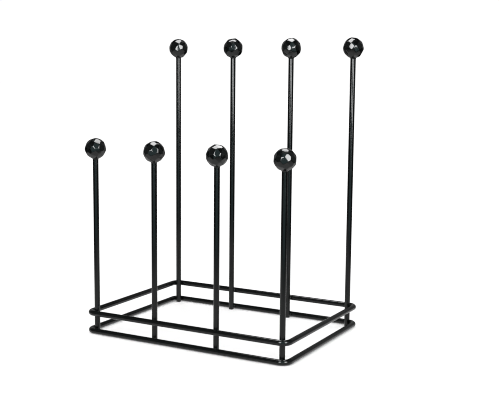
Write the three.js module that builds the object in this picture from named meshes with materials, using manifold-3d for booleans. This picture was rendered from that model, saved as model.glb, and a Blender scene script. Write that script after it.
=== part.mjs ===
// Boot rack for four pairs: two rings of round rod, two rows of uprights welded inside them,
// and a hammered ball on top of each upright.
//
// Millimetres, +Z up. The origin is on the floor under the middle of the rings. The short row
// stands at -Y, which is the front, and uprights are counted from left to right along +X.

import {
	BufferGeometry,
	Curve,
	CylinderGeometry,
	ExtrudeGeometry,
	Float32BufferAttribute,
	Group,
	MathUtils,
	Mesh,
	MeshStandardMaterial,
	Shape,
	SphereGeometry,
	TorusGeometry,
	Uint32BufferAttribute,
	Vector3,
} from 'three';
import { ConvexHull } from 'three/addons/math/ConvexHull.js';
import { mergeVertices } from 'three/addons/utils/BufferGeometryUtils.js';
import Module from 'manifold-3d';

// Rod and rings, measured to the rod's centreline
const rodDiameter = 10.5;
const ringWidth = 425;
const ringDepth = 310;
const bendRadius = 15;
const upperRingHeight = 40;
const buttWeldWidth = 1.5;

// Uprights and balls. An end upright nests in a bend, this share of the way round it.
const uprightsPerRow = 4;
const endPostShare = 0.22;
const frontBallHeight = 355;
const rearBallHeight = 548;
const ballDiameter = 40;
const hammerDepth = 0.9;
const facetsPerBall = 52;

// Clearances between pieces that meet on curved faces
const seatGap = 0.3;
const weldGap = 0.2;

// Weld beads, as shares of the rod's diameter
const beadReachShare = 0.58;
const beadHeightShare = 0.46;
const beadThrowShare = 0.3;
const collarBeadShare = 0.17;

// How uneven the hammering is: the scatter of the blows against their spacing, and of their depth.
// Each ball has a seed whose flats lie about as on the real one.
const blowScatterShare = 0.2;
const blowDepthShare = 0.25;
const hammerSeeds = {
	front: [1717, 3503, 8609, 6456],
	rear: [7513, 362, 4766, 3098],
};

// Facets on round forms. A multiple of eight gives the rod flats at every half right angle.
const rodSides = 24;
const stepsPerBend = 8;
const beadSteps = 12;
const beadRings = 6;
const collarSteps = 18;
const collarSides = 6;

// Places that follow from the sizes
const rodRadius = rodDiameter / 2;
const ballRadius = ballDiameter / 2;
const railInset = rodDiameter + seatGap;
const endTurn = endPostShare * Math.PI / 2;
const nestRadius = Math.max(0, bendRadius - railInset);
const endInsetX = Math.max(railInset, bendRadius - nestRadius * Math.sin(endTurn));
const endInsetY = Math.max(railInset, bendRadius - nestRadius * Math.cos(endTurn));
const seatDistance = ballRadius - hammerDepth;

const wasm = await Module();
wasm.setup();

// Boolean helpers

function toSolid(geometry) {
	const bare = geometry.clone();
	bare.deleteAttribute('normal');
	bare.deleteAttribute('uv');
	const merged = mergeVertices(bare);
	return new wasm.Manifold(new wasm.Mesh({
		numProp: 3,
		vertProperties: merged.attributes.position.array,
		triVerts: new Uint32Array(merged.index.array),
	}));
}

function toGeometry(solid) {
	const mesh = solid.getMesh();
	const geometry = new BufferGeometry();
	geometry.setAttribute('position', new Float32BufferAttribute(mesh.vertProperties, 3));
	geometry.setIndex(new Uint32BufferAttribute(mesh.triVerts, 1));
	geometry.computeVertexNormals();
	return geometry;
}

// Round rod

// A regular polygon whose flats lie on the rod's diameter, so that the rod stands on a flat
function rodSection(diameter) {
	const cornerRadius = diameter / 2 / Math.cos(Math.PI / rodSides);
	const section = new Shape();
	for (let side = 0; side < rodSides; side += 1) {
		const angle = (side + 0.5) * 2 * Math.PI / rodSides;
		const x = cornerRadius * Math.cos(angle);
		const y = cornerRadius * Math.sin(angle);
		if (side === 0) section.moveTo(x, y);
		else section.lineTo(x, y);
	}
	section.closePath();
	return section;
}

function uprightRod(diameter, length) {
	return new ExtrudeGeometry(rodSection(diameter), { depth: length, bevelEnabled: false });
}

// The centreline of a ring: from one face of the butt weld in the rear rail, anticlockwise round
// the four bends, to the other face. It has one knot at each end of a straight and even steps
// round each bend, and the sections are set at the knots.
class RingPath extends Curve {

	constructor() {
		super();
		this.knots = [this.knot(-buttWeldWidth / 2, ringDepth / 2, Math.PI / 2)];
		const corners = [[-1, 1], [-1, -1], [1, -1], [1, 1]];
		corners.forEach(([sideX, sideY], corner) => {
			for (let step = 0; step <= stepsPerBend; step += 1) {
				const angle = (corner + 1 + step / stepsPerBend) * Math.PI / 2;
				const x = sideX * (ringWidth / 2 - bendRadius) + bendRadius * Math.cos(angle);
				const y = sideY * (ringDepth / 2 - bendRadius) + bendRadius * Math.sin(angle);
				this.knots.push(this.knot(x, y, angle));
			}
		});
		this.knots.push(this.knot(buttWeldWidth / 2, ringDepth / 2, Math.PI / 2));
	}

	// A place on the centreline and its tangent, which is square to the outward angle
	knot(x, y, outwardAngle) {
		return {
			point: new Vector3(x, y, 0),
			tangent: new Vector3(-Math.sin(outwardAngle), Math.cos(outwardAngle), 0),
		};
	}

	get steps() {
		return this.knots.length - 1;
	}

	between(share, field, target) {
		const place = share * this.steps;
		const index = Math.min(Math.floor(place), this.steps - 1);
		const [start, end] = [this.knots[index][field], this.knots[index + 1][field]];
		return target.lerpVectors(start, end, place - index);
	}

	getPoint(share, target = new Vector3()) {
		return this.between(share, 'point', target);
	}

	getPointAt(share, target) {
		return this.getPoint(share, target);
	}

	getTangent(share, target = new Vector3()) {
		return this.between(share, 'tangent', target).normalize();
	}

	getTangentAt(share, target) {
		return this.getTangent(share, target);
	}

}

const ringPath = new RingPath();

function ringRod(diameter) {
	return new ExtrudeGeometry(rodSection(diameter), { steps: ringPath.steps, extrudePath: ringPath });
}

// The disc of weld that closes the ring, ground flush with the rod
function buttWeld() {
	const cornerRadius = rodRadius / Math.cos(Math.PI / rodSides);
	const disc = new CylinderGeometry(cornerRadius, cornerRadius, buttWeldWidth, rodSides);
	disc.rotateY(Math.PI / rodSides);
	disc.rotateZ(Math.PI / 2);
	return disc;
}

// Hammered balls

// One blow for each facet: its outward direction and its distance from the ball's centre. The
// first is the flat seat at the bottom. The others follow a golden spiral from the top down, each
// knocked a little off its even place.
function hammerBlows(seed) {
	const goldenAngle = Math.PI * (3 - Math.sqrt(5));
	const spacing = Math.sqrt(4 * Math.PI / facetsPerBall);
	const blows = [{ direction: new Vector3(0, 0, -1), distance: seatDistance }];
	MathUtils.seededRandom(seed);
	const scatter = () => spacing * blowScatterShare * (2 * MathUtils.seededRandom() - 1);
	for (let index = 0; index < facetsPerBall - 1; index += 1) {
		const polar = Math.acos(1 - 2 * (index + 0.5) / facetsPerBall);
		const direction = new Vector3().setFromSphericalCoords(1, polar, index * goldenAngle + seed);
		direction.set(direction.x + scatter(), direction.z + scatter(), direction.y + scatter());
		const spread = 1 + blowDepthShare * (2 * MathUtils.seededRandom() - 1);
		blows.push({ direction: direction.normalize(), distance: ballRadius - hammerDepth * spread });
	}
	return blows;
}

// The solid inside all the facet planes. Each plane becomes one point of the polar dual, whose
// convex hull has a triangle for every corner of the ball.
function facetedBall(blows, growth) {
	const duals = blows.map(({ direction, distance }) => (
		direction.clone().divideScalar(distance + growth)
	));
	const cornersOf = new Map(duals.map((dual) => [dual, []]));
	new ConvexHull().setFromPoints(duals).faces.forEach((face) => {
		const corner = face.normal.clone().divideScalar(face.constant);
		let edge = face.edge;
		do {
			cornersOf.get(edge.head().point).push(corner);
			edge = edge.next;
		} while (edge !== face.edge);
	});
	const positions = [];
	cornersOf.forEach((corners, dual) => {
		fanFacet(corners, dual.clone().normalize(), positions);
	});
	const geometry = new BufferGeometry();
	geometry.setAttribute('position', new Float32BufferAttribute(positions, 3));
	geometry.computeVertexNormals();
	return geometry;
}

// The triangles of one flat facet, anticlockwise as seen from outside the ball
function fanFacet(corners, normal, positions) {
	if (corners.length < 3) return;
	const middle = new Vector3();
	corners.forEach((corner) => middle.addScaledVector(corner, 1 / corners.length));
	const right = corners[0].clone().sub(middle).normalize();
	const up = normal.clone().cross(right);
	const angleOf = (corner) => {
		const arm = corner.clone().sub(middle);
		return Math.atan2(arm.dot(up), arm.dot(right));
	};
	const round = [...corners].sort((first, second) => angleOf(first) - angleOf(second));
	for (let index = 1; index < round.length - 1; index += 1) {
		[round[0], round[index], round[index + 1]].forEach((corner) => positions.push(...corner));
	}
}

// The ring of weld under a ball, in the ball's frame: what a small torus round the top of the rod
// leaves when the ball and the rod are taken out of it
function collarWeld(blows) {
	const beadRadius = collarBeadShare * rodDiameter;
	const torus = new TorusGeometry(rodRadius + weldGap, beadRadius, collarSides, collarSteps);
	torus.translate(0, 0, -seatDistance);
	const rodLength = 2 * beadRadius + rodDiameter;
	const rod = uprightRod(rodDiameter + 2 * weldGap, rodLength);
	rod.translate(0, 0, -seatDistance - rodLength / 2);
	const ball = toSolid(facetedBall(blows, weldGap));
	return toGeometry(toSolid(torus).subtract(ball).subtract(toSolid(rod)));
}

// The weld where an upright crosses a ring, in a frame on the upright's axis at the height of the
// ring's centreline: a flattened bead round the contact, less the upright and the ring
function crossingWeld(x, y, outwardAngle) {
	const bead = new SphereGeometry(1, beadSteps, beadRings);
	bead.rotateX(Math.PI / 2);
	bead.scale(
		beadThrowShare * rodDiameter,
		beadReachShare * rodDiameter,
		beadHeightShare * rodDiameter,
	);
	bead.translate(railInset / 2, 0, 0);
	bead.rotateZ(outwardAngle);
	const rod = uprightRod(rodDiameter + 2 * weldGap, 2 * rodDiameter);
	rod.translate(0, 0, -rodDiameter);
	const ring = ringRod(rodDiameter + 2 * weldGap);
	ring.translate(-x, -y, 0);
	return toGeometry(toSolid(bead).subtract(toSolid(rod)).subtract(toSolid(ring)));
}

// Finish

function blackPaint(roughness, facets = false) {
	return new MeshStandardMaterial({ color: 0x0c0c0d, roughness, metalness: 0, flatShading: facets });
}

const rodPaint = blackPaint(0.25);
const weldPaint = blackPaint(0.35);
const ballPaint = blackPaint(0.2, true);

function named(name, geometry, material) {
	const mesh = new Mesh(geometry, material);
	mesh.name = name;
	return mesh;
}

// Assembly

function ring(name, height) {
	const group = new Group();
	group.position.z = height;
	group.add(named(name, ringRod(rodDiameter), rodPaint));
	const weld = named(`${name}_butt_weld`, buttWeld(), weldPaint);
	weld.position.y = ringDepth / 2;
	group.add(weld);
	return group;
}

// One upright with its ball and its three welds. The end ones nest in the bends of the rings, and
// the others touch the long rails.
function upright(row, number, ballHeight) {
	const side = row === 'front' ? -1 : 1;
	const span = ringWidth - 2 * endInsetX;
	const share = (number - 1) / (uprightsPerRow - 1);
	const end = Math.sign(share - 0.5) * (share === 0 || share === 1);
	const x = (share - 0.5) * span;
	const y = side * (ringDepth / 2 - (end === 0 ? railInset : endInsetY));
	const outwardAngle = Math.atan2(side * Math.cos(endTurn * end), end * Math.sin(endTurn));
	const seeds = hammerSeeds[row];
	const blows = hammerBlows(seeds[(number - 1) % seeds.length]);

	const group = new Group();
	group.position.set(x, y, 0);
	const rod = uprightRod(rodDiameter, ballHeight - seatDistance);
	group.add(named(`${row}_post_${number}`, rod, rodPaint));

	const ball = named(`${row}_ball_${number}`, facetedBall(blows, 0), ballPaint);
	const collar = named(`${row}_ball_${number}_weld`, collarWeld(blows), weldPaint);
	const lowerWeld = named(
		`${row}_post_${number}_lower_weld`, crossingWeld(x, y, outwardAngle), weldPaint,
	);
	const upperWeld = named(`${row}_post_${number}_upper_weld`, lowerWeld.geometry, weldPaint);
	ball.position.z = ballHeight;
	collar.position.z = ballHeight;
	lowerWeld.position.z = rodRadius;
	upperWeld.position.z = upperRingHeight;
	group.add(ball, collar, lowerWeld, upperWeld);
	return group;
}

const bootRack = new Group();
bootRack.name = 'boot_rack';
bootRack.add(ring('lower_ring', rodRadius), ring('upper_ring', upperRingHeight));
for (let number = 1; number <= uprightsPerRow; number += 1) {
	bootRack.add(upright('front', number, frontBallHeight));
	bootRack.add(upright('rear', number, rearBallHeight));
}

export default bootRack;
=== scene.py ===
import math
import bpy
import bmesh
from mathutils import Matrix, Vector


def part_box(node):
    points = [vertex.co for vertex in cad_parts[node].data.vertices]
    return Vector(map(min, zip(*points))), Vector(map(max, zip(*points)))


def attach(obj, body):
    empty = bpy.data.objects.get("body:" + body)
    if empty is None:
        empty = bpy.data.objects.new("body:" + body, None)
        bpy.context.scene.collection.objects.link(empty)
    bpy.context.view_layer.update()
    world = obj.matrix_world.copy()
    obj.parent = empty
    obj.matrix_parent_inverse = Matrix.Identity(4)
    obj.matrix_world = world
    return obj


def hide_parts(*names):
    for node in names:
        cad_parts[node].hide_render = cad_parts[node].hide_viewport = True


# Boot rack: two rings of round rod, eight uprights welded inside them and a hammered ball on each,
# all in gloss black enamel. Metres, with the short front row at -Y.

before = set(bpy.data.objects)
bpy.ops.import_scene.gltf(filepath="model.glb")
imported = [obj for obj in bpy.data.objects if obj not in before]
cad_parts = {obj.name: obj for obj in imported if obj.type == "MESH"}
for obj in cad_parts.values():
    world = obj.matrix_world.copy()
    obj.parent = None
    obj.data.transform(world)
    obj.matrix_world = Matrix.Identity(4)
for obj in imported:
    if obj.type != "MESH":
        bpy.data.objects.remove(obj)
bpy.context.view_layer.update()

mm = 0.001
noiseMean = 0.5                # of a noise node, which gives 0 to 1
rows = ('front', 'rear')
places = (1, 2, 3, 4)
ringNames = ('lower', 'upper')


# A socket that takes part in sums. Each sum adds a Math node to the socket's own tree.
class Wire:

    def __init__(self, bench, socket):
        self.bench = bench
        self.socket = socket

    def maths(self, operation, *others):
        values = dict(enumerate((self, *others)))
        return self.bench.node('ShaderNodeMath', {'operation': operation}, values)

    def mathsAfter(self, operation, first):
        return self.bench.node('ShaderNodeMath', {'operation': operation}, {0: first, 1: self})

    def __add__(self, other):
        return self.maths('ADD', other)

    def __radd__(self, other):
        return self.maths('ADD', other)

    def __sub__(self, other):
        return self.maths('SUBTRACT', other)

    def __rsub__(self, other):
        return self.mathsAfter('SUBTRACT', other)

    def __mul__(self, other):
        return self.maths('MULTIPLY', other)

    def __rmul__(self, other):
        return self.maths('MULTIPLY', other)

    def __truediv__(self, other):
        return self.maths('DIVIDE', other)

    def __rtruediv__(self, other):
        return self.mathsAfter('DIVIDE', other)

    def least(self, other):
        return self.maths('MINIMUM', other)

    def most(self, other):
        return self.maths('MAXIMUM', other)

    def bearing(self, other):
        return self.maths('ARCTAN2', other)

    def melted(self, other, width):
        return self.maths('SMOOTH_MIN', other, width)

    def __abs__(self):
        return self.maths('ABSOLUTE')

    def root(self):
        return self.maths('SQRT')

    def sine(self):
        return self.maths('SINE')

    def cosine(self):
        return self.maths('COSINE')

    def spread(self):
        return self.bench.node('ShaderNodeCombineXYZ', {}, {0: self, 1: self, 2: self})

    def split(self):
        made = self.bench.node('ShaderNodeSeparateXYZ', {}, {'Vector': self}).socket.node
        return [Wire(self.bench, socket) for socket in made.outputs]


# Puts nodes in one tree: settings first, then a value or a wire for each socket, which is named by
# its identifier or its number
class Bench:

    def __init__(self, tree):
        self.tree = tree

    def node(self, kind, settings=None, sockets=None, out=0):
        made = self.tree.nodes.new(kind)
        for name, value in (settings or {}).items():
            setattr(made, name, value)
        for key, value in (sockets or {}).items():
            socket = self.find(made.inputs, key)
            if isinstance(value, Wire):
                self.tree.links.new(value.socket, socket)
            else:
                socket.default_value = value
        return Wire(self, self.find(made.outputs, out)) if made.outputs else None

    def find(self, sockets, key):
        if isinstance(key, int):
            return sockets[key]
        return next(socket for socket in sockets if socket.identifier == key)


# An emptied tree of a material or a world
def emptyBench(holder):
    holder.use_nodes = True
    bench = Bench(holder.node_tree)
    bench.tree.nodes.clear()
    return bench


# The length of a line from its parts along the axes
def lengthOf(first, *others):
    total = first * first
    for part in others:
        total = total + part * part
    return total.root()


# Materials

enamelColour = {
    'black': (0.0020, 0.0024, 0.0024, 1.0),
    'greyed': (0.0050, 0.0056, 0.0055, 1.0),   # where the film is thin or handled
}

enamelGrain = {
    'smudgeDetail': 4.0,
    'peelDetail': 1.0,
    'nibDetail': 2.0,
    'roughness': 0.55,         # of each pattern's finer layers
}

rodEnamel = {
    'ior': 1.35,
    'roughness': 0.16,
    'roughnessSpread': 0.05,
    'smudgeSize': 38 * mm,
    'peelSize': 2.5 * mm,
    'peelDepth': 0.002 * mm,
    'nibSize': 0.5 * mm,
    'nibDepth': 0.0002 * mm,
    'greying': 0.35,
}

ballEnamel = {
    **rodEnamel,
    'ior': 1.42,
    'roughness': 0.12,
    'smudgeSize': 14 * mm,
    'peelSize': 3.0 * mm,
    'peelDepth': 0.012 * mm,
    'greying': 0.25,
    'ridgeGreying': 0.8,
    'ridgeRoughness': 0.06,
}

weldEnamel = {
    **rodEnamel,
    'roughness': 0.26,
    'smudgeSize': 6 * mm,
    'peelSize': 0.9 * mm,
    'peelDepth': 0.020 * mm,
    'greying': 0.6,
}


# Sprayed black enamel: orange peel and nibs in the relief, smudges in the gloss, and a greyer film
# on the ridges of a hammered piece
def enamel(name, look):
    material = bpy.data.materials.new(name)
    bench = emptyBench(material)
    place = bench.node('ShaderNodeTexCoord', out='Object')

    def grain(kind):
        return bench.node('ShaderNodeTexNoise', {}, {
            'Vector': place,
            'Scale': 1 / look[f'{kind}Size'],
            'Detail': enamelGrain[f'{kind}Detail'],
            'Roughness': enamelGrain['roughness'],
        })

    smudge = (grain('smudge') - noiseMean) * 2         # from -1 to 1
    peel = grain('peel')
    nibs = grain('nib')
    roughness = look['roughness'] + smudge * look['roughnessSpread']
    greying = (smudge + 0.5) * look['greying']         # none to full between smudges -0.5 and 0.5
    if 'ridgeGreying' in look:
        ridge = bench.node('ShaderNodeAttribute', {'attribute_name': 'ridge'}, out='Fac')
        roughness = roughness + ridge * look['ridgeRoughness']
        greying = greying + ridge * look['ridgeGreying']
    colour = bench.node('ShaderNodeMix', {'data_type': 'RGBA', 'clamp_factor': True}, {
        'Factor_Float': greying,
        'A_Color': enamelColour['black'],
        'B_Color': enamelColour['greyed'],
    }, out='Result_Color')
    relief = bench.node('ShaderNodeBump', {}, {
        'Strength': 1.0,
        'Distance': 1.0,       # the heights are in metres
        'Height': peel * look['peelDepth'] + nibs * look['nibDepth'],
    })
    surface = bench.node('ShaderNodeBsdfPrincipled', {}, {
        'Base Color': colour,
        'Roughness': roughness,
        'Normal': relief,
        'IOR': look['ior'],
    })
    bench.node('ShaderNodeOutputMaterial', {}, {'Surface': surface})
    return material


rodPaint = enamel('rodEnamel', rodEnamel)
ballPaint = enamel('ballEnamel', ballEnamel)
weldPaint = enamel('weldEnamel', weldEnamel)
print('materials: enamel on rods, balls and welds')


# Geometry Nodes helpers

# A tree with a geometry in and out, and one named input for each size
def startTree(name, sizes):
    tree = bpy.data.node_groups.new(name, 'GeometryNodeTree')
    tree.interface.new_socket('Geometry', in_out='INPUT', socket_type='NodeSocketGeometry')
    tree.interface.new_socket('Geometry', in_out='OUTPUT', socket_type='NodeSocketGeometry')
    for label, kind in sizes.items():
        tree.interface.new_socket(label, in_out='INPUT', socket_type=f'NodeSocket{kind}')
    bench = Bench(tree)
    source = bench.node('NodeGroupInput').socket.node
    return bench, {socket.name: Wire(bench, socket) for socket in source.outputs if socket.name}


# Ends a tree: instances made real, smooth faces and the paint
def endTree(bench, geometry, paint):
    real = bench.node('GeometryNodeRealizeInstances', {}, {'Geometry': geometry})
    smooth = bench.node('GeometryNodeSetShadeSmooth', {}, {'Geometry': real, 'Shade Smooth': True})
    painted = bench.node('GeometryNodeSetMaterial', {}, {'Geometry': smooth, 'Material': paint})
    bench.node('NodeGroupOutput', {}, {0: painted})
    return bench.tree


# Runs a tree on a mesh with these sizes, and leaves the result as a plain mesh on a new piece
def grow(name, tree, sizes, start=None):
    piece = bpy.data.objects.new(name, start or bpy.data.meshes.new(name + 'Start'))
    bpy.context.scene.collection.objects.link(piece)
    modifier = piece.modifiers.new('grow', 'NODES')
    modifier.node_group = tree
    for item in tree.interface.items_tree:
        if item.in_out == 'INPUT' and item.name in sizes:
            modifier[item.identifier] = sizes[item.name]
    graph = bpy.context.evaluated_depsgraph_get()
    mesh = bpy.data.meshes.new_from_object(piece.evaluated_get(graph), depsgraph=graph)
    mesh.name = name
    piece.modifiers.remove(modifier)
    piece.data = mesh
    return piece


def settle(piece, node):
    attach(piece, 'root')
    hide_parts(node)


# Sizes of the CAD model. Its boxes give all but the bends.

postLow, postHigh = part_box('front_post_1')
rodDiameter = postHigh.x - postLow.x
rodRadius = rodDiameter / 2
lowerLow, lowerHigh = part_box('lower_ring')
ringWidth = lowerHigh.x - lowerLow.x - rodDiameter
ringDepth = lowerHigh.y - lowerLow.y - rodDiameter
bendRadius = 15 * mm           # to the rod's centreline
straightX = ringWidth / 2 - bendRadius
straightY = ringDepth / 2 - bendRadius


def middle(node):
    low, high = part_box(node)
    return (low + high) / 2


# The way from an upright to the ring it touches, which is out from the middle of a bend, or
# straight across to a rail
def outwardFrom(post):
    past = Vector((max(abs(post.x) - straightX, 0), max(abs(post.y) - straightY, 0), 0))
    return Vector((math.copysign(past.x, post.x), math.copysign(past.y, post.y), 0)).normalized()


# How far a point is from a ring's centreline, as seen from above, and less than nothing inside it
def fromRing(x, y, straightX, straightY, bend):
    pastX, pastY = abs(x) - straightX, abs(y) - straightY
    around = lengthOf(pastX.most(0.0), pastY.most(0.0))
    return around + pastX.most(pastY).least(0.0) - bend


# Round rod along a path

rodSizes = {
    'sides': 48,
    'stretch': 25 * mm,        # longest step along a straight
    'bendSteps': 18,
    'footChamfer': 0.7 * mm,
    'chamferSteps': 4,
    'grainSize': 1.1 * mm,     # of the relief on an uneven rod
    'grainDetail': 2.0,
}


def makeRodTree():
    bench, given = startTree('roundRod', {
        'Diameter': 'Float',
        'Sides': 'Int',
        'Unevenness': 'Float',
        'Grain Size': 'Float',
        'Seed': 'Float',
        'Paint': 'Material',
    })
    path = bench.node('GeometryNodeMeshToCurve', {}, {'Mesh': given['Geometry']})
    section = bench.node('GeometryNodeCurvePrimitiveCircle', {}, {
        'Resolution': given['Sides'],
        'Radius': given['Diameter'] / 2,
    })
    share = bench.node('GeometryNodeInputNamedAttribute', {'data_type': 'FLOAT'}, {
        'Name': 'radiusShare',
    })
    rod = bench.node('GeometryNodeCurveToMesh', {}, {
        'Curve': path,
        'Profile Curve': section,
        'Scale': share,
        'Fill Caps': True,
    })
    noise = bench.node('ShaderNodeTexNoise', {'noise_dimensions': '4D'}, {
        'Scale': 1 / given['Grain Size'],
        'W': given['Seed'],
        'Detail': rodSizes['grainDetail'],
    })
    normal = bench.node('GeometryNodeInputNormal')
    sunk = bench.node('ShaderNodeVectorMath', {'operation': 'SCALE'}, {
        'Vector': normal,
        'Scale': 0 - noise * given['Unevenness'],
    })
    uneven = bench.node('GeometryNodeSetPosition', {}, {'Geometry': rod, 'Offset': sunk})
    return endTree(bench, uneven, given['Paint'])


rodTree = makeRodTree()


# An open chain of edges with the rod's radius at each point as a share of the full radius
def chain(name, points, shares):
    mesh = bpy.data.meshes.new(name)
    mesh.from_pydata(points, [(index, index + 1) for index in range(len(points) - 1)], [])
    layer = mesh.attributes.new('radiusShare', 'FLOAT', 'POINT')
    layer.data.foreach_set('value', shares)
    return mesh


def stepsAlong(start, end, longest):
    count = max(1, math.ceil(abs(end - start) / longest))
    return [start + (end - start) * index / count for index in range(count + 1)]


# The ring's centreline, from one face of the butt weld in the rear rail round to the other
def ringPoints(height, halfGap):
    halfWidth, halfDepth = ringWidth / 2, ringDepth / 2
    longest = rodSizes['stretch']
    steps = rodSizes['bendSteps']

    def bend(sideX, sideY, startTurn):
        for index in range(1, steps):
            angle = (startTurn + index / steps) * math.pi / 2
            x = sideX * straightX + bendRadius * math.cos(angle)
            y = sideY * straightY + bendRadius * math.sin(angle)
            yield (x, y, height)

    points = [(x, halfDepth, height) for x in stepsAlong(-halfGap, -straightX, longest)]
    points += bend(-1, 1, 1)
    points += [(-halfWidth, y, height) for y in stepsAlong(straightY, -straightY, longest)]
    points += bend(-1, -1, 2)
    points += [(x, -halfDepth, height) for x in stepsAlong(-straightX, straightX, longest)]
    points += bend(1, -1, 3)
    points += [(halfWidth, y, height) for y in stepsAlong(-straightY, straightY, longest)]
    points += bend(1, 1, 0)
    points += [(x, halfDepth, height) for x in stepsAlong(straightX, halfGap, longest)]
    return points


# A rod on this path, or an uneven bead of weld
def sweep(name, start, paint, unevenness=0.0, seed=0.0):
    return grow(name, rodTree, {
        'Diameter': rodDiameter,
        'Sides': rodSizes['sides'],
        'Unevenness': unevenness,
        'Grain Size': rodSizes['grainSize'],
        'Seed': seed,
        'Paint': paint,
    }, start)


# The disc of weld that closes a ring, dressed back nearly flush

buttWeldSizes = {
    'edge': 0.985,             # radius as a share of the rod's
    'middle': 0.999,
    'steps': 6,
    'unevenness': 0.06 * mm,
}


def makeRings():
    steps, edge = buttWeldSizes['steps'], buttWeldSizes['edge']
    bulge = buttWeldSizes['middle'] - edge
    unevenness = buttWeldSizes['unevenness']
    for number, ringName in enumerate(ringNames):
        weldLow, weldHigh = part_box(f'{ringName}_ring_butt_weld')
        height = middle(f'{ringName}_ring').z
        points = ringPoints(height, weldHigh.x)
        start = chain(f'{ringName}RingPath', points, [1.0] * len(points))
        ring = sweep(f'{ringName}Ring', start, rodPaint)
        settle(ring, f'{ringName}_ring')

        width = weldHigh.x - weldLow.x
        acrossWeld = [weldLow.x + width * index / steps for index in range(steps + 1)]
        shares = [edge + bulge * (1 - (x / weldHigh.x) ** 2) for x in acrossWeld]
        points = [(x, ringDepth / 2, height) for x in acrossWeld]
        start = chain(f'{ringName}WeldPath', points, shares)
        weld = sweep(f'{ringName}RingButtWeld', start, weldPaint, unevenness, number)
        settle(weld, f'{ringName}_ring_butt_weld')


makeRings()
print('rings: two sweeps and their butt welds')


# An upright: a straight rod with a small chamfer round its foot
def makePosts():
    chamfer = rodSizes['footChamfer']
    steps = rodSizes['chamferSteps']
    for row in rows:
        for place in places:
            low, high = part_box(f'{row}_post_{place}')
            centre = (low + high) / 2
            turns = [index / steps * math.pi / 2 for index in range(steps + 1)]
            heights = [low.z + chamfer * (1 - math.cos(turn)) for turn in turns]
            shares = [1 - chamfer / rodRadius * (1 - math.sin(turn)) for turn in turns]
            straight = stepsAlong(heights[-1], high.z, rodSizes['stretch'])[1:]
            heights += straight
            shares += [1.0] * len(straight)
            points = [(centre.x, centre.y, height) for height in heights]
            start = chain(f'{row}PostPath{place}', points, shares)
            post = sweep(f'{row}Post{place}', start, rodPaint)
            settle(post, f'{row}_post_{place}')


makePosts()
print('uprights: eight')


# Hammered balls: a fine sphere drawn onto the CAD ball's flats, with worn ridges and a little of
# the sphere's own curve left in each flat

ballSizes = {
    'fineness': 6,             # how often the sphere's first twenty faces are split
    'ridgeBlur': 2,            # rounds of blurring over the ridges
    'ridgeHeight': 0.12 * mm,  # a ridge that stands this far proud is fully worn
    'roundness': 0.16,         # 0 leaves the blows flat, 1 makes a plain sphere
    'reach': 30 * mm,          # rays start this far out and end at the centre
    'mergeWithin': 0.01 * mm,
    'rise': 19.1 * mm,         # from the flat seat up to the centre
}


def makeBallTree():
    bench, given = startTree('hammeredBall', {
        'Middle': 'Vector',
        'Mean Radius': 'Float',
        'Reach': 'Float',
        'Fineness': 'Int',
        'Ridge Blur': 'Int',
        'Ridge Height': 'Float',
        'Roundness': 'Float',
        'Paint': 'Material',
    })
    globe = bench.node('GeometryNodeMeshIcoSphere', {}, {
        'Radius': 1.0,
        'Subdivisions': given['Fineness'],
    })
    spot = bench.node('GeometryNodeInputPosition')
    outward = bench.node('ShaderNodeVectorMath', {'operation': 'NORMALIZE'}, {0: spot})
    farOut = bench.node('ShaderNodeVectorMath', {'operation': 'MULTIPLY_ADD'}, {
        0: outward,
        1: given['Reach'].spread(),
        2: given['Middle'],
    })
    inward = bench.node('ShaderNodeVectorMath', {'operation': 'SCALE'}, {
        'Vector': outward,
        'Scale': -1.0,
    })
    gap = bench.node('GeometryNodeRaycast', {}, {
        'Target Geometry': given['Geometry'],
        'Source Position': farOut,
        'Ray Direction': inward,
        'Ray Length': given['Reach'],
    }, out='Hit Distance')
    kept = bench.node('GeometryNodeStoreNamedAttribute', {'data_type': 'FLOAT'}, {
        'Geometry': globe,
        'Name': 'sharpRadius',
        'Value': given['Reach'] - gap,
    })
    sharp = bench.node('GeometryNodeInputNamedAttribute', {'data_type': 'FLOAT'}, {
        'Name': 'sharpRadius',
    })
    soft = bench.node('GeometryNodeBlurAttribute', {'data_type': 'FLOAT'}, {
        'Value': sharp,
        'Iterations': given['Ridge Blur'],
    })
    marked = bench.node('GeometryNodeStoreNamedAttribute', {'data_type': 'FLOAT'}, {
        'Geometry': kept,
        'Name': 'ridge',
        'Value': ((sharp - soft) / given['Ridge Height']).most(0.0).least(1.0),
    })
    radius = soft + (given['Mean Radius'] - soft) * given['Roundness']
    drawn = bench.node('ShaderNodeVectorMath', {'operation': 'MULTIPLY_ADD'}, {
        0: outward,
        1: radius.spread(),
        2: given['Middle'],
    })
    ball = bench.node('GeometryNodeSetPosition', {}, {'Geometry': marked, 'Position': drawn})
    return endTree(bench, ball, given['Paint'])


ballTree = makeBallTree()


def makeBall(row, place):
    rise = ballSizes['rise']
    form = bmesh.new()
    form.from_mesh(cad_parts[f'{row}_ball_{place}'].data)
    bmesh.ops.remove_doubles(form, verts=form.verts, dist=ballSizes['mergeWithin'])
    start = bpy.data.meshes.new(f'{row}Ball{place}Flats')
    form.to_mesh(start)
    form.free()
    low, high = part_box(f'{row}_ball_{place}')
    post = middle(f'{row}_post_{place}')
    centre = Vector((post.x, post.y, low.z + rise))
    distances = [(vertex.co - centre).length for vertex in start.vertices]
    ball = grow(f'{row}Ball{place}', ballTree, {
        'Middle': tuple(centre),
        'Mean Radius': (min(distances) + rise) / 2,
        'Reach': ballSizes['reach'],
        'Fineness': ballSizes['fineness'],
        'Ridge Blur': ballSizes['ridgeBlur'],
        'Ridge Height': ballSizes['ridgeHeight'],
        'Roundness': ballSizes['roundness'],
        'Paint': ballPaint,
    }, start)
    settle(ball, f'{row}_ball_{place}')


for row in rows:
    for place in places:
        makeBall(row, place)
print('balls: eight')


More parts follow.
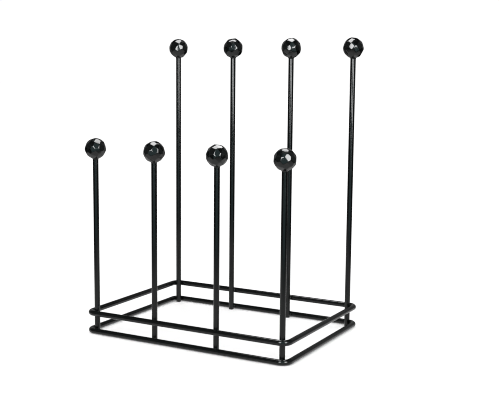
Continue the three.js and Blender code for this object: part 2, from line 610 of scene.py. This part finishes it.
# Welds: a field of distances, melted together where two pieces meet, with ripples and lumps, that
# sinks into the rods away from the joint

crossingWeldSizes = {
    'fillet': 6.6 * mm,        # how far off the smooth corner reaches
    'sink': 0.10 * mm,
    'reach': 5.0 * mm,
    'fall': 1.6,               # how steeply the weld dives past its reach
    'lumps': 0.30 * mm,
    'lumpSize': 2.6 * mm,
    'lumpDetail': 1.0,
    'ripples': 20.0,           # round the joint
    'rippleDepth': 0.05 * mm,
    'boxSide': 15 * mm,
    'boxHeight': 14 * mm,
    'lowest': 0.15 * mm,       # no weld comes nearer to the floor
    'voxel': 0.27 * mm,
    'fadeVoxels': 4,           # the cloud's edge fades out over this many
}

collarWeldSizes = {
    **crossingWeldSizes,
    'fillet': 5.0 * mm,
    'reach': 6.6 * mm,
    'lumps': 0.25 * mm,
    'ripples': 30.0,
    'boxSide': 17 * mm,
    'boxHeight': 11 * mm,
}


# Adds the lumps, the ripples and the dive to a melted distance, and meshes where it is nought
def endWeld(bench, given, melted, height, fromJoint, turn):
    noise = bench.node('ShaderNodeTexNoise', {'noise_dimensions': '4D'}, {
        'Scale': 1 / given['Lump Size'],
        'W': given['Seed'],
        'Detail': given['Lump Detail'],
    })
    ripple = (turn * given['Ripples']).sine() * given['Ripple Depth']
    dive = (fromJoint - given['Reach']).most(0.0) * given['Fall']
    field = melted + given['Sink'] + (noise - noiseMean) * given['Lumps'] + ripple + dive
    field = field.most(given['Lowest'] - height)
    atSkin = 0.5               # the cloud's density at the surface
    density = (atSkin - field / given['Fade']).most(0.0).least(1.0)
    half = bench.node('ShaderNodeVectorMath', {'operation': 'SCALE'}, {
        'Vector': given['Box'],
        'Scale': 0.5,
    })
    lowest = bench.node('ShaderNodeVectorMath', {'operation': 'SUBTRACT'}, {
        0: given['Middle'],
        1: half,
    })
    highest = bench.node('ShaderNodeVectorMath', {'operation': 'ADD'}, {
        0: given['Middle'],
        1: half,
    })
    counts = [side / given['Voxel'] for side in given['Box'].split()]
    cloud = bench.node('GeometryNodeVolumeCube', {}, {
        'Density': density,
        'Background': 0.0,
        'Min': lowest,
        'Max': highest,
        'Resolution X': counts[0],
        'Resolution Y': counts[1],
        'Resolution Z': counts[2],
    })
    skin = bench.node('GeometryNodeVolumeToMesh', {'resolution_mode': 'GRID'}, {
        'Volume': cloud,
        'Threshold': atSkin,
    })
    return endTree(bench, skin, given['Paint'])


# What both sorts of weld are given
weldInputs = {
    'Middle': 'Vector',
    'Box': 'Vector',
    'Post X': 'Float',
    'Post Y': 'Float',
    'Rod Radius': 'Float',
    'Fillet': 'Float',
    'Sink': 'Float',
    'Reach': 'Float',
    'Fall': 'Float',
    'Lumps': 'Float',
    'Lump Size': 'Float',
    'Lump Detail': 'Float',
    'Ripples': 'Float',
    'Ripple Depth': 'Float',
    'Seed': 'Float',
    'Lowest': 'Float',
    'Voxel': 'Float',
    'Fade': 'Float',
    'Paint': 'Material',
}


# How far a point is from the surface of its upright
def toPost(given, x, y):
    return lengthOf(x - given['Post X'], y - given['Post Y']) - given['Rod Radius']


def makeCrossingTree():
    bench, given = startTree('crossingWeld', {
        **weldInputs,
        'Ring Height': 'Float',
        'Straight X': 'Float',
        'Straight Y': 'Float',
        'Bend Radius': 'Float',
        'Outward': 'Float',
    })
    x, y, z = bench.node('GeometryNodeInputPosition').split()
    planar = fromRing(x, y, given['Straight X'], given['Straight Y'], given['Bend Radius'])
    rise = z - given['Ring Height']
    toRing = lengthOf(planar, rise) - given['Rod Radius']
    melted = toPost(given, x, y).melted(toRing, given['Fillet'])
    jointX, jointY, jointZ = given['Middle'].split()
    offX, offY, offZ = x - jointX, y - jointY, z - jointZ
    along = offY * given['Outward'].cosine() - offX * given['Outward'].sine()
    fromJoint = lengthOf(offX, offY, offZ)
    return endWeld(bench, given, melted, z, fromJoint, offZ.bearing(along))


def makeCollarTree():
    bench, given = startTree('collarWeld', {
        **weldInputs,
        'Ball Height': 'Float',
        'Seat Distance': 'Float',
    })
    x, y, z = bench.node('GeometryNodeInputPosition').split()
    offX, offY = x - given['Post X'], y - given['Post Y']
    toBall = lengthOf(offX, offY, z - given['Ball Height']) - given['Seat Distance']
    melted = toPost(given, x, y).melted(toBall, given['Fillet'])
    jointZ = given['Middle'].split()[2]
    fromJoint = lengthOf(offX, offY, z - jointZ)
    return endWeld(bench, given, melted, z, fromJoint, offY.bearing(offX))


def weldValues(sizes, joint, x, y, seed):
    return {
        'Middle': tuple(joint),
        'Box': (sizes['boxSide'], sizes['boxSide'], sizes['boxHeight']),
        'Post X': x,
        'Post Y': y,
        'Rod Radius': rodRadius,
        'Fillet': sizes['fillet'],
        'Sink': sizes['sink'],
        'Reach': sizes['reach'],
        'Fall': sizes['fall'],
        'Lumps': sizes['lumps'],
        'Lump Size': sizes['lumpSize'],
        'Lump Detail': sizes['lumpDetail'],
        'Ripples': sizes['ripples'],
        'Ripple Depth': sizes['rippleDepth'],
        'Seed': float(seed),
        'Lowest': sizes['lowest'],
        'Voxel': sizes['voxel'],
        'Fade': sizes['voxel'] * sizes['fadeVoxels'],
        'Paint': weldPaint,
    }


# Each weld's own number for its lumps, with a collar as the level above both rings
def weldSeed(rowNumber, place, level):
    return place + 10 * rowNumber + 100 * level


def makeWelds():
    crossingTree, collarTree = makeCrossingTree(), makeCollarTree()
    for rowNumber, row in enumerate(rows):
        for place in places:
            post = middle(f'{row}_post_{place}')
            outward = outwardFrom(post)
            for level, ringName in enumerate(ringNames):
                height = middle(f'{ringName}_ring').z
                joint = Vector((post.x, post.y, height)) + outward * rodRadius
                seed = weldSeed(rowNumber, place, level)
                values = weldValues(crossingWeldSizes, joint, post.x, post.y, seed)
                weld = grow(f'{row}Post{place}{ringName.capitalize()}Weld', crossingTree, {
                    **values,
                    'Ring Height': height,
                    'Straight X': straightX,
                    'Straight Y': straightY,
                    'Bend Radius': bendRadius,
                    'Outward': math.atan2(outward.y, outward.x),
                })
                settle(weld, f'{row}_post_{place}_{ringName}_weld')
            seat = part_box(f'{row}_ball_{place}')[0].z
            seed = weldSeed(rowNumber, place, len(ringNames))
            values = weldValues(collarWeldSizes, (post.x, post.y, seat), post.x, post.y, seed)
            collar = grow(f'{row}Ball{place}Weld', collarTree, {
                **values,
                'Ball Height': seat + ballSizes['rise'],
                'Seat Distance': ballSizes['rise'],
            })
            settle(collar, f'{row}_ball_{place}_weld')


makeWelds()
print('welds: sixteen crossings and eight collars')


# Studio: a matt white table under a white sky, a soft box on each side of the camera, one above the
# rack, and a dim table and walls that only the gloss sees

studio = {
    'white': (1.0, 1.0, 1.0, 1.0),
    'black': (0.0, 0.0, 0.0, 1.0),
    'coolWhite': (0.9, 1.0, 1.0, 1.0),
    'seaGreen': (0.60, 0.96, 1.0, 1.0),
    'sky': 2.05,
    'background': 1.03,        # the sky as the camera sees it, just over white
    'crispness': 1.0,          # width of the pixel filter in pixels
}

# The table shows a little over white, with painted light along the rings that washes out the edge
# of their shadow. The gloss sees a glowing disc instead, which fades out in rings.
table = {
    'brightness': 1.115,
    'paintedLightAtRing': 1.68,
    'paintedLightReach': 18 * mm,
    'radius': 30.0,
    'mirroredGlow': 1.0,
    'mirroredRadius': 0.62,
    'fadeWidth': 0.45,
    'fadeSteps': 6,
    'drop': 0.3 * mm,          # from one layer down to the next
    'sides': 64,
}

# Dim walls that only the gloss sees, as patches of a sphere round the rack. Angles are in degrees:
# bearings to the right of the camera's side as the camera sees it, and lowest and highest up from
# the level.
dimWalls = (
    {'name': 'frontWall', 'glow': 0.76, 'colour': studio['seaGreen'], 'distance': 4.0,
     'bearing': 0.0, 'spread': 40.0, 'lowest': -18.0, 'highest': 62.0},
    {'name': 'leftWall', 'glow': 0.12, 'colour': studio['coolWhite'], 'distance': 4.0,
     'bearing': -80.0, 'spread': 30.0, 'lowest': 0.0, 'highest': 50.0},
    {'name': 'rightWall', 'glow': 0.20, 'colour': studio['coolWhite'], 'distance': 4.0,
     'bearing': 80.0, 'spread': 30.0, 'lowest': 0.0, 'highest': 50.0},
    {'name': 'backdrop', 'glow': 0.28, 'colour': studio['white'], 'distance': 4.0,
     'bearing': 180.0, 'spread': 60.0, 'lowest': -14.0, 'highest': 33.0},
    {'name': 'ceiling', 'glow': 0.22, 'colour': studio['coolWhite'], 'distance': 4.0,
     'bearing': 0.0, 'spread': 180.0, 'lowest': 63.0, 'highest': 89.0},
    {'name': 'ceilingPanel', 'glow': 0.80, 'colour': studio['coolWhite'], 'distance': 3.6,
     'bearing': -28.0, 'spread': 22.0, 'lowest': 58.0, 'highest': 79.0},
)

wallSizes = {
    'middle': 0.3,             # height of the sphere's centre
    'steps': 24,
}

# Lamps, with the same bearings. Each faces the axis of the rack at the height of its aim.
softLights = (
    {'name': 'leftLight', 'glow': 22.0, 'size': (0.42, 0.85), 'bearing': -22.0, 'distance': 1.34,
     'height': 0.79, 'aim': 0.79},
    {'name': 'rightLight', 'glow': 22.0, 'size': (0.42, 0.85), 'bearing': 33.0, 'distance': 1.34,
     'height': 0.75, 'aim': 0.75},
    {'name': 'topLight', 'glow': 13.0, 'size': (0.90, 0.72), 'bearing': 178.0, 'distance': 0.40,
     'height': 1.62, 'aim': 0.45},
)

photoCamera = {
    'place': (0.9113, -1.5803, 0.5033),
    'yaw': math.radians(28.464),
    'down': math.radians(7.726),
    'roll': math.radians(0.555),
    'focalPixels': 955.1,
    'framePixels': 500,
    'sensor': 36.0,
}


# Ends a material as a matt surface with these sockets
def endMatt(bench, sockets):
    surface = bench.node('ShaderNodeBsdfPrincipled', {}, {
        'Roughness': 1.0,
        'Specular IOR Level': 0.0,
        **sockets,
    })
    bench.node('ShaderNodeOutputMaterial', {}, {'Surface': surface})


# The table's matt white under this sky, with painted light that brightens it along the rings
def tableWhiteWithPaintedLight():
    material = bpy.data.materials.new('tableWhiteWithPaintedLight')
    bench = emptyBench(material)
    x, y, _ = bench.node('ShaderNodeTexCoord', out='Object').split()
    away = fromRing(x, y, straightX, straightY, bendRadius) / table['paintedLightReach']
    # painted light: brighter near the rings, fading with distance from them, to hide their shadow
    paintedLight = (table['paintedLightAtRing'] - table['brightness']) / (away * away + 1)
    endMatt(bench, {'Base Color': (paintedLight + table['brightness']) / studio['sky']})
    return material


# Black that glows in this colour
def glowing(name, colour, glow):
    material = bpy.data.materials.new(name)
    endMatt(emptyBench(material), {
        'Base Color': studio['black'],
        'Emission Color': colour,
        'Emission Strength': glow,
    })
    return material


# A sheet that is no part of the rack
def stageSheet(name, points, faces, material):
    mesh = bpy.data.meshes.new(name)
    mesh.from_pydata(points, [], faces)
    mesh.materials.append(material)
    sheet = bpy.data.objects.new(name, mesh)
    bpy.context.scene.collection.objects.link(sheet)
    return sheet


# A round flat sheet that faces up, this many layers down from the floor
def disc(name, radius, layer, material):
    turns = [2 * math.pi * index / table['sides'] for index in range(table['sides'])]
    points = [(radius * math.cos(turn), radius * math.sin(turn), -layer * table['drop'])
              for turn in turns]
    return stageSheet(name, points, [range(table['sides'])], material)


def hideFromAllButGloss(sheet):
    sheet.visible_camera = sheet.visible_diffuse = sheet.visible_shadow = False


def makeTable():
    disc('table', table['radius'], 0, tableWhiteWithPaintedLight()).visible_glossy = False
    steps = table['fadeSteps']
    for step in range(steps + 1):
        glow = table['mirroredGlow'] * (1 - step / (steps + 1))
        name = f'mirroredTable{step}'
        radius = table['mirroredRadius'] + table['fadeWidth'] * step / steps
        material = glowing(name, studio['white'], glow)
        hideFromAllButGloss(disc(name, radius, step + 1, material))


# A patch of a sphere round the rack
def wall(values, facing):
    steps = wallSizes['steps']
    points = []
    for row in range(steps + 1):
        lift = values['lowest'] + (values['highest'] - values['lowest']) * row / steps
        out = values['distance'] * math.cos(math.radians(lift))
        up = wallSizes['middle'] + values['distance'] * math.sin(math.radians(lift))
        for column in range(steps + 1):
            bearing = values['bearing'] + values['spread'] * (2 * column / steps - 1)
            turn = facing + math.radians(bearing)
            points.append((out * math.sin(turn), -out * math.cos(turn), up))
    wide = steps + 1
    corners = [row * wide + column for row in range(steps) for column in range(steps)]
    faces = [(corner, corner + 1, corner + wide + 1, corner + wide) for corner in corners]
    material = glowing(values['name'], values['colour'], values['glow'])
    hideFromAllButGloss(stageSheet(values['name'], points, faces, material))


def makeStudio():
    scene = bpy.context.scene
    scene.view_settings.view_transform = 'Standard'
    scene.cycles.filter_width = studio['crispness']
    world = bpy.data.worlds.new('studioSky')
    scene.world = world
    bench = emptyBench(world)
    seen = bench.node('ShaderNodeLightPath', out='Is Camera Ray')
    sky = bench.node('ShaderNodeBackground', {}, {
        'Color': studio['white'],
        'Strength': studio['sky'] - seen * (studio['sky'] - studio['background']),
    })
    bench.node('ShaderNodeOutputWorld', {}, {'Surface': sky})
    world.cycles_visibility.glossy = False

    makeTable()
    facing = photoCamera['yaw']
    for values in dimWalls:
        wall(values, facing)

    for light in softLights:
        bearing = facing + math.radians(light['bearing'])
        place = Vector((math.sin(bearing), -math.cos(bearing), 0)) * light['distance']
        place.z = light['height']
        lamp = bpy.data.lights.new(light['name'], 'AREA')
        lamp.shape = 'RECTANGLE'
        lamp.size, lamp.size_y = light['size']
        # an area light of this power glows as brightly as a surface of this radiance
        lamp.energy = light['glow'] * math.pi * lamp.size * lamp.size_y
        holder = bpy.data.objects.new(light['name'], lamp)
        holder.location = place
        aim = Vector((0, 0, light['aim']))
        holder.rotation_euler = (place - aim).to_track_quat('Z', 'Y').to_euler()
        holder.visible_camera = holder.visible_diffuse = False
        scene.collection.objects.link(holder)


def makeCamera():
    lens = bpy.data.cameras.new('photoCamera')
    lens.sensor_fit = 'HORIZONTAL'
    lens.sensor_width = photoCamera['sensor']
    lens.lens = photoCamera['focalPixels'] / photoCamera['framePixels'] * photoCamera['sensor']
    camera = bpy.data.objects.new('photoCamera', lens)
    turn = (Matrix.Rotation(photoCamera['yaw'], 4, 'Z')
            @ Matrix.Rotation(math.pi / 2 - photoCamera['down'], 4, 'X')
            @ Matrix.Rotation(photoCamera['roll'], 4, 'Z'))
    camera.matrix_world = Matrix.Translation(photoCamera['place']) @ turn
    bpy.context.scene.collection.objects.link(camera)
    bpy.context.scene.camera = camera


makeStudio()
makeCamera()
print('studio: table, lights and camera')

bpy.context.view_layer.update()
